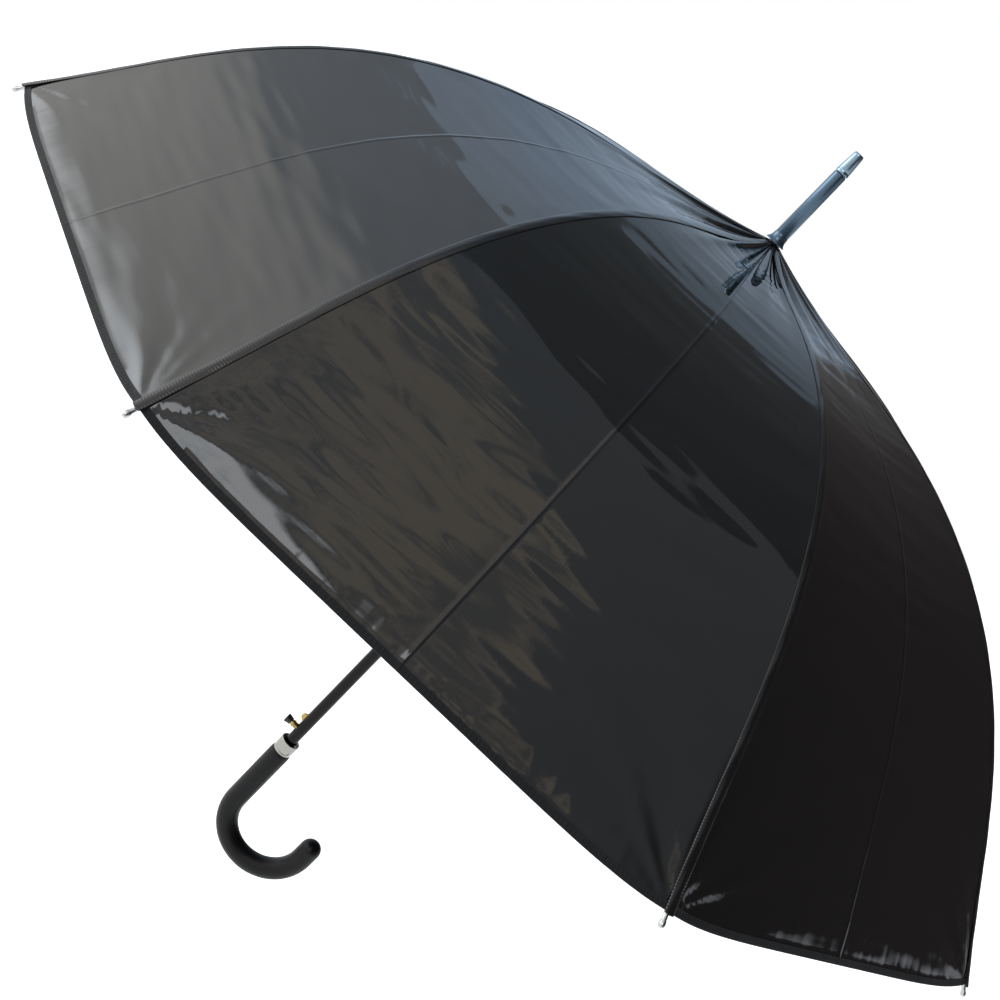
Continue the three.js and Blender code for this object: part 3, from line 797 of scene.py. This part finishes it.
def crook_handle():
    """A round bar bent into a hook, with a narrowed neck and a round end that keeps its moulding nib."""
    centre = Vector((0, 0, COLLAR_LOW[2] - 0.3 * MM))
    radius = GRIP_RADIUS - 0.6 * MM
    obj = start_piece(
        "crook_grip", bpy.ops.mesh.primitive_circle_add,
        vertices=40, radius=radius, location=tuple(centre), fill_type="NGON",
    )

    def grow(rise, new_radius):
        """Draws the bar on upwards, or downwards, to a new radius."""
        nonlocal radius
        push(z=rise)
        centre.z += rise
        scale = new_radius / radius
        bpy.ops.transform.resize(value=(scale, scale, 1), center_override=centre)
        radius = new_radius

    grow(-1.2 * MM, GRIP_RADIUS - 0.2 * MM)
    grow(-3 * MM, GRIP_RADIUS)
    for _ in range(4):
        grow(-14 * MM, GRIP_RADIUS)
    grow(-CROOK_STRAIGHT - centre.z, GRIP_RADIUS)
    bpy.ops.mesh.spin(
        steps=CROOK_STEPS, angle=math.pi, center=(CROOK_BEND, 0, -CROOK_STRAIGHT), axis=(0, 1, 0),
        use_auto_merge=False,
    )
    centre.x = 2 * CROOK_BEND
    grow(CROOK_TAIL, GRIP_RADIUS)
    for k in range(END_STEPS):
        start, end = END_TURN * k / END_STEPS, END_TURN * (k + 1) / END_STEPS
        grow(GRIP_RADIUS * (math.sin(end) - math.sin(start)), GRIP_RADIUS * math.cos(end))
    # the nib
    for rise, share in ((0.1, 0.55), (0.9, 0.8), (0.3, 0.5)):
        grow(rise * MM, radius * share)
    return close_piece(obj, 0, angle=50)


fit(crook_handle(), "crook_handle", GRIP)

collar = turned(
    "handle_cup",
    in_mm(
        (6.3, 0.3), (9.6, 0.3), (10.1, 0.8), (10.1, 2.4), (9.8, 2.9), (9.8, 3.3), (10.2, 3.8), (10.3, 13.6),
        (10.1, 14.7), (9.6, 15), (8.9, 14.7), (8.6, 14), (8.6, 10.5), (8.1, 10), (6.3, 10),
    ),
    64, 0.15 * MM, closed=True,
)
fit(collar, "handle_collar", CHROME)


# ---------- shaft, crown and ferrule ----------
def slot_tools():
    """The openings for the latch stem, the catch and the spring's arm, as cutting tools."""
    stem = block((-8 * MM, -3.2 * MM, 26.7 * MM), (-3 * MM, 3.2 * MM, 34.3 * MM))
    catch = block((-8 * MM, -1.6 * MM, 38.7 * MM), (-3 * MM, 1.6 * MM, 49.3 * MM))
    travel = block((-1.7 * MM, 3 * MM, 83 * MM), (1.7 * MM, 8 * MM, RUNNER_PIN[1] + 1 * MM))
    return stem, catch, travel


shaft = turned(
    "shaft",
    [(SHAFT_RADIUS, SHAFT_LOW[2]), (SHAFT_RADIUS, SHAFT_HIGH[2]), (SHAFT_BORE, SHAFT_HIGH[2]),
     (SHAFT_BORE, SHAFT_LOW[2])],
    64, closed=True,
)
fit(close_piece(cut_out(shaft, *slot_tools()), 0.15 * MM), "shaft_tube", LACQUER)

CROWN_RISE = (CROWN_HIGH[2] - CROWN_LOW[2]) / MM
crown = turned(
    "crown_notch",
    in_mm(
        (6.3, 0), (11.6, 0), (12.6, 1), (12.6, 2.4), (11.9, 2.9), (11.9, 4.3), (12.6, 4.8),
        (12.6, CROWN_RISE - 1), (11.6, CROWN_RISE), (6.3, CROWN_RISE),
        above=CROWN_LOW[2],
    ),
    64, closed=True,
)
crown = cut_out(crown, *radial_slots(4.2 * MM, 8.8 * MM, 18 * MM, CROWN_LOW[2] - MM, CROWN_HIGH[2] + MM))
fit(close_piece(crown, 0.2 * MM), "rib_crown", NYLON)

# The spike's seat on the canopy, above the part of it that is inside the tube.
SEAT = SPIKE_LOW[2] + 20 * MM
SPIKE_RISE = (SPIKE_HIGH[2] - SEAT) / MM
spike = turned(
    "ferrule_tube",
    [(4.7 * MM, SPIKE_LOW[2])] + in_mm(
        (4.7, 0), (9.2, 0), (9.2, 0.9), (8.4, 1.7), (7.5, 3), (6.9, 5), (6.6, 8), (6.5, 8.6), (6.25, 9),
        (6.45, 9.4), (5.95, SPIKE_RISE - 2), (5.9, SPIKE_RISE - 0.6), (5.4, SPIKE_RISE),
        above=SEAT,
    ),
    56, 0.15 * MM,
)
fit(spike, "ferrule_spike", FERRULE)

CAP_RISE = (CAP_HIGH[2] - CAP_LOW[2]) / MM
cap = turned(
    "ferrule_end",
    in_mm(
        (5.5, 0), (6.1, 0.5), (6.15, 2.6), (5.8, 3.2), (5.8, 3.8), (5.95, 4.4), (4.75, CAP_RISE - 2),
        (4.5, CAP_RISE - 0.8), (3.9, CAP_RISE), (2.2, CAP_RISE), (2.0, CAP_RISE - 0.4),
        above=CAP_LOW[2],
    ),
    56, 0.12 * MM,
)
fit(cap, "ferrule_cap", CAP_METAL)


# ---------- runner ----------
def runner():
    """The slider: a long sleeve with a slotted flange for the stretchers and a window for the catch."""
    z, bottom = RUNNER_PIN[1], RUNNER_LOW[2]
    foot = in_mm((6.35, 0), (8.4, 0), (8.9, 0.6), (8.9, 2), (8.4, 3), above=bottom)
    flange = in_mm(
        (8.4, -8), (9.6, -7), (13.2, -4.2), (14, -3.3), (14, -0.8), (13.4, -0.4), (13.4, 0.4), (14, 0.8),
        (14, 2.9), (13.4, 3.5), (6.35, 3.5),
        above=z,
    )
    sleeve = turned("slider", foot + flange, 64, closed=True)
    window = block((-12 * MM, -2 * MM, bottom + 13.4 * MM), (-5 * MM, 2 * MM, bottom + 24.6 * MM))
    arm = block((-1.6 * MM, 5 * MM, z - 8.4 * MM), (1.6 * MM, 10 * MM, z - 3.6 * MM))
    cut_out(sleeve, *radial_slots(3 * MM, 8.8 * MM, 18 * MM, bottom + 10 * MM, z + 10 * MM), window, arm)
    return close_piece(sleeve, 0.2 * MM)


fit(runner(), "runner", NYLON, "runner_body")


# ---------- latch ----------
BUTTON_Z, CATCH_Z = (BUTTON_LOW[2] + BUTTON_HIGH[2]) / 2, 44 * MM
CATCH_REACH, CATCH_HALF, CATCH_WIDTH = 6 * MM, 4.5 * MM, 2.4 * MM


def latch_lever():
    """A brass stem with a shoulder, and the half-moon catch on the same spring leaf."""
    stem = turned(
        "stem",
        in_mm((3, 3.6), (3, 9.3), (3.8, 9.4), (3.8, 10.8), (3, 10.9), (3, 15), (2.7, 15.2)),
        40, 0.12 * MM,
    )
    aim_at_minus_x(stem, BUTTON_Z)
    root = (-4 * MM, 0, CATCH_Z)
    moon = start_piece(
        "moon", bpy.ops.mesh.primitive_circle_add,
        vertices=56, radius=CATCH_HALF, location=(root[0], -CATCH_WIDTH / 2, CATCH_Z),
        rotation=(math.pi / 2, 0, 0), fill_type="NGON",
    )
    bpy.ops.transform.resize(value=(CATCH_REACH / CATCH_HALF, 1, 1), center_override=root)
    push(y=CATCH_WIDTH)
    bpy.ops.mesh.select_all(action="SELECT")
    bpy.ops.mesh.bisect(plane_co=root, plane_no=(1, 0, 0), use_fill=True, clear_outer=True)
    close_piece(moon, 0.4 * MM)
    leaf = oblong(
        "leaf", (-3.8 * MM, -5 * MM), (-3.8 * MM, 47.6 * MM), 0.7 * MM, CATCH_WIDTH, bevel=0.1 * MM
    )
    return join("latch_stem_and_catch", stem, moon, leaf)


fit(latch_lever(), "latch_lever", BRASS, "latch")
button = turned(
    "push_button",
    in_mm(
        (3.1, 15.6), (3.1, 13), (3.6, 13), (3.8, 13.6), (3.9, 15), (4.3, 16.6), (4.7, 18.2), (4.7, 18.8),
        (4.4, 19.3), (3.6, 19.5), (3, 19.45), (2.6, 19.2),
    ),
    48, 0.12 * MM,
)
fit(aim_at_minus_x(button, BUTTON_Z), "latch_button", NYLON, "latch")


# ---------- ribs, stretchers and tips ----------
def swept_bar(name, low, high, steps, width, thickness):
    """A square bar that follows the rib, extruded and turned a little at a time."""
    shares = np.linspace(low, high, steps + 1)
    radius, height, slope = rib_curve(shares, RIB_INSET)
    obj = start_piece(
        name,
        bpy.ops.mesh.primitive_plane_add,
        size=1,
        location=(float(radius[0]), 0, float(height[0])),
        rotation=(0, math.pi / 2, 0),
    )
    centre = Vector((float(radius[0]), 0, float(height[0])))
    bpy.ops.transform.resize(value=(1, width, thickness), center_override=centre)
    bpy.ops.transform.rotate(value=-float(slope[0]), orient_axis="Y", center_override=centre)
    for k in range(steps):
        step = Vector((float(radius[k + 1] - radius[k]), 0, float(height[k + 1] - height[k])))
        push(*step)
        centre += step
        turn = -float(slope[k + 1] - slope[k])
        bpy.ops.transform.rotate(value=turn, orient_axis="Y", center_override=centre)
    return obj


def rivet(x, z, radius, half_width):
    """A pin across the rib with a low domed head at each end."""
    heads = [(0.3, -0.75), (0.85, -0.6), (1, -0.25), (1, 0), (0.62, 0)]
    profile = [(r * radius, -half_width + h * radius) for r, h in heads]
    profile += [(r, -h) for r, h in reversed(profile)]
    pin = turned("rivet", profile, 16)
    pin.data.transform(Matrix.Translation((x, 0, z)) @ Matrix.Rotation(math.pi / 2, 4, "X"))
    return pin


def near_flex(along, inward):
    """A point in the rib's plane, along the rib from the flex hinge and inward from it."""
    slope = float(rib_curve(FLEX_SHARE)[2])
    x, z = FLEX_PIN
    return (
        x + along * math.cos(slope) - inward * math.sin(slope),
        z - along * math.sin(slope) - inward * math.cos(slope),
    )


# Share of the rib's length at which its channel starts, near the crown.
CHANNEL_START = 0.0086


def rib_channel():
    """The stiff inner part of a rib: a U-section of pressed steel with the stretcher's clip riveted on."""
    band = swept_bar("channel", CHANNEL_START, FLEX_SHARE - 2.2 * MM / RIB_LENGTH, 30, 3.4 * MM, 2.8 * MM)
    pick(band, lambda centre, normal: normal.z < -0.8 and abs(normal.y) < 0.1 and centre.x > 16 * MM)
    bpy.ops.mesh.inset(thickness=0.6 * MM)
    bpy.ops.mesh.extrude_region_shrink_fatten(TRANSFORM_OT_shrink_fatten={"value": -1.9 * MM})
    close_piece(band, 0.18 * MM)
    x, z = CROWN_PIN
    eye = oblong("eye", CROWN_PIN, (x + 3 * MM, z - 0.4 * MM), 1.5 * MM, 3.4 * MM, bevel=0.2 * MM)
    cheek_ends = near_flex(-4.6 * MM, -0.2 * MM), near_flex(-3 * MM, 5.2 * MM)
    cheeks = [
        oblong("cheek", *cheek_ends, 2.1 * MM, 0.7 * MM, side * 1.85 * MM, bevel=0.15 * MM)
        for side in (-1, 1)
    ]
    pins = [rivet(*CLIP_PIN, 0.9 * MM, 2.2 * MM), rivet(*FLEX_PIN, 0.8 * MM, 2.2 * MM)]
    return join("rib_channel", band, eye, *cheeks, *pins)


def rib_rod():
    """The springy outer part of a rib, a solid square rod with rounded edges and a flattened root."""
    rod = close_piece(swept_bar("rod", FLEX_SHARE, ROD_END, 34, 2.4 * MM, 2.4 * MM), 0.55 * MM, 3)
    root = oblong("root", FLEX_PIN, near_flex(5 * MM, 0), 1.3 * MM, 2.4 * MM, bevel=0.2 * MM)
    return join("rib_rod", rod, root)


def rib_tip():
    """A plated cap over the rod's end: a shoulder where the hem is sewn to it, and a small ball end."""
    end = ((1 - ROD_END) * RIB_LENGTH + 10.5 * MM) / MM
    tip = turned(
        "tip",
        in_mm(
            (1.5, 0.3), (2, 0.6), (2.2, 1.2), (2.2, end - 11), (1.75, end - 9.6), (1.7, end - 5.2),
            (2.1, end - 4.2), (2.25, end - 2.9), (2.2, end - 1.6), (1.7, end - 0.5), (0.9, end),
        ),
        28, 0.1 * MM,
    )
    radius, height, slopes = rib_curve([ROD_END, 1], RIB_INSET)
    tip.data.transform(
        Matrix.Translation((float(radius[0]), 0, float(height[0])))
        @ Matrix.Rotation(math.pi / 2 + float(slopes.mean()), 4, "Y")
    )
    return tip


def stretcher():
    """A flat strut with pressed grooves, pinned to the rib's clip and to the runner."""
    return oblong("stretcher", RUNNER_PIN, CLIP_PIN, 1.5 * MM, 2.4 * MM, bevel=0.2 * MM, groove=0.5 * MM)


for model, node_name, body, look in (
    (rib_channel(), "rib_channel", "rib_inner", RIB_STEEL),
    (rib_rod(), "rib_rod", "rib_outer", RIB_STEEL),
    (rib_tip(), "rib_tip", "rib_outer", TIP_METAL),
    (stretcher(), "stretcher", "stretcher_arm", RIB_STEEL),
):
    for i in range(RIBS):
        copy = model.copy()
        copy.data = model.data.copy()
        copy.name = copy.data.name = f"{node_name}_shaped_{i + 1}"
        bpy.context.collection.objects.link(copy)
        copy.data.transform(Matrix.Rotation(rib_bearing(i), 4, "Z"))
        fit(copy, f"{node_name}_{i + 1}", look, f"{body}_{i + 1}")
    bpy.data.objects.remove(model)

for node_name in ("drive_spring", "spring_plunger", "latch_pin"):
    paint(bpy.data.objects[node_name], BARE_STEEL)


# ---------- light, floor and backdrop ----------
def ramp(tree, value, stops):
    made = node(tree, "ShaderNodeValToRGB", Fac=value)
    band = made.color_ramp
    while len(band.elements) < len(stops):
        band.elements.new(0.5)
    for element, (place, colour) in zip(band.elements, stops):
        element.position, element.color = place, (*colour, 1)
    return made.outputs[0]


FLOOR_DROP, FLOOR_SIZE, FLOOR_GLOW = 1.1, 40, 0.75
SKY_STRENGTH, BACKDROP_STRENGTH = 2.1, 1.0
# From left to right: a bright overcast side, a blue-grey slope, a dim middle and a dark end.
SKY_BANDS = (
    (0.015, (2.2, 2.3, 2.4)), (0.05, (0.78, 0.78, 0.76)), (0.085, (0.66, 0.66, 0.65)),
    (0.12, (0.36, 0.39, 0.42)), (0.35, (0.15, 0.18, 0.225)), (0.49, (0.1, 0.112, 0.122)),
    (0.58, (0.075, 0.075, 0.078)), (0.66, (0.045, 0.04, 0.04)), (0.8, (0.035, 0.03, 0.03)),
)


def pale_floor():
    """A pale floor well below the hand."""
    bpy.ops.object.select_all(action="DESELECT")
    bpy.ops.mesh.primitive_plane_add(size=FLOOR_SIZE, location=(0, 0, LOW[2] - FLOOR_DROP))
    floor = bpy.context.object
    floor.name = "floor"
    look = material(
        "pale_floor", Base_Color=linear("#ffffff"), Roughness=1.0,
        Emission_Color=(1, 1, 1, 1), Emission_Strength=FLOOR_GLOW,
    )[0]
    paint(floor, look)


def soft_sky():
    """A white backdrop, and a broad soft sky around it that is bright to the left."""
    world = bpy.data.worlds.new("soft_sky")
    bpy.context.scene.world = world
    world.use_nodes = True
    tree = world.node_tree
    tree.nodes.clear()
    towards = node(tree, "ShaderNodeTexCoord").outputs["Generated"]
    x, y, z = node(tree, "ShaderNodeSeparateXYZ", Vector=towards).outputs
    # rough edges, as of trees and roofs
    uneven = node(
        tree, "ShaderNodeTexNoise", Vector=towards, Scale=11.0, Detail=6.0, Roughness=0.7
    ).outputs[0]

    def past(value, start, stop, least=0.0, most=1.0):
        """The least value before start and the most past stop."""
        return node(
            tree, "ShaderNodeMapRange", Value=value,
            From_Min=start, From_Max=stop, To_Min=least, To_Max=most,
        ).outputs[0]

    def plus(value, share, other):
        """A value, with a share of another added."""
        return node(
            tree, "ShaderNodeMath", {"operation": "MULTIPLY_ADD"}, _0=value, _1=share, _2=other
        ).outputs[0]

    def both(first, *others):
        for other in others:
            first = node(tree, "ShaderNodeMath", {"operation": "MULTIPLY"}, _0=first, _1=other).outputs[0]
        return first

    ragged_x, ragged_y = plus(uneven, 0.05, x), plus(uneven, 0.3, y)
    # the low front half of the sky, under a straight roof line
    low = both(past(y, -0.08, -0.1), past(x, 0.42, 0.25))
    # a warm wall on the left of it, with a leaning edge
    leaning = past(plus(y, 0.43, ragged_x), -0.11, -0.12)
    wall = both(low, leaning, past(uneven, 0.42, 0.56, 0.2, 1.15))
    # an open bright gap at the front on the left, low down
    gap = both(past(y, -0.68, -0.71), past(x, 0, -0.05), past(x, -0.5, -0.4), past(z, 0.4, 0.45))
    # hazy sky at the back
    haze = both(past(ragged_y, 0.8, 0.83), past(ragged_x, 0.2, 0.17))
    # a low strip of light on the right
    strip = both(past(x, 0.8, 0.85), past(z, 0.2, 0.15))
    light = ramp(tree, past(x, -1, 1), SKY_BANDS)
    for share, colour in (
        (strip, (0.3, 0.32, 0.35)),
        (low, (0.115, 0.125, 0.135)),
        (wall, (0.32, 0.25, 0.16)),
        (gap, (1.5, 1.6, 1.7)),
        (haze, (0.1, 0.14, 0.19)),
    ):
        light = node(
            tree, "ShaderNodeMix", {"data_type": "RGBA", "blend_type": "ADD"},
            _0=share, _6=light, _7=(*colour, 1),
        ).outputs[2]
    sky = node(tree, "ShaderNodeBackground", Color=light, Strength=SKY_STRENGTH)
    backdrop = node(tree, "ShaderNodeBackground", Color=(1, 1, 1, 1), Strength=BACKDROP_STRENGTH)
    seen = node(tree, "ShaderNodeLightPath").outputs["Is Camera Ray"]
    whole = node(tree, "ShaderNodeMixShader", _0=seen, _1=sky.outputs[0], _2=backdrop.outputs[0])
    node(tree, "ShaderNodeOutputWorld", Surface=whole.outputs[0])
    bpy.context.scene.view_settings.view_transform = "Standard"


pale_floor()
soft_sky()
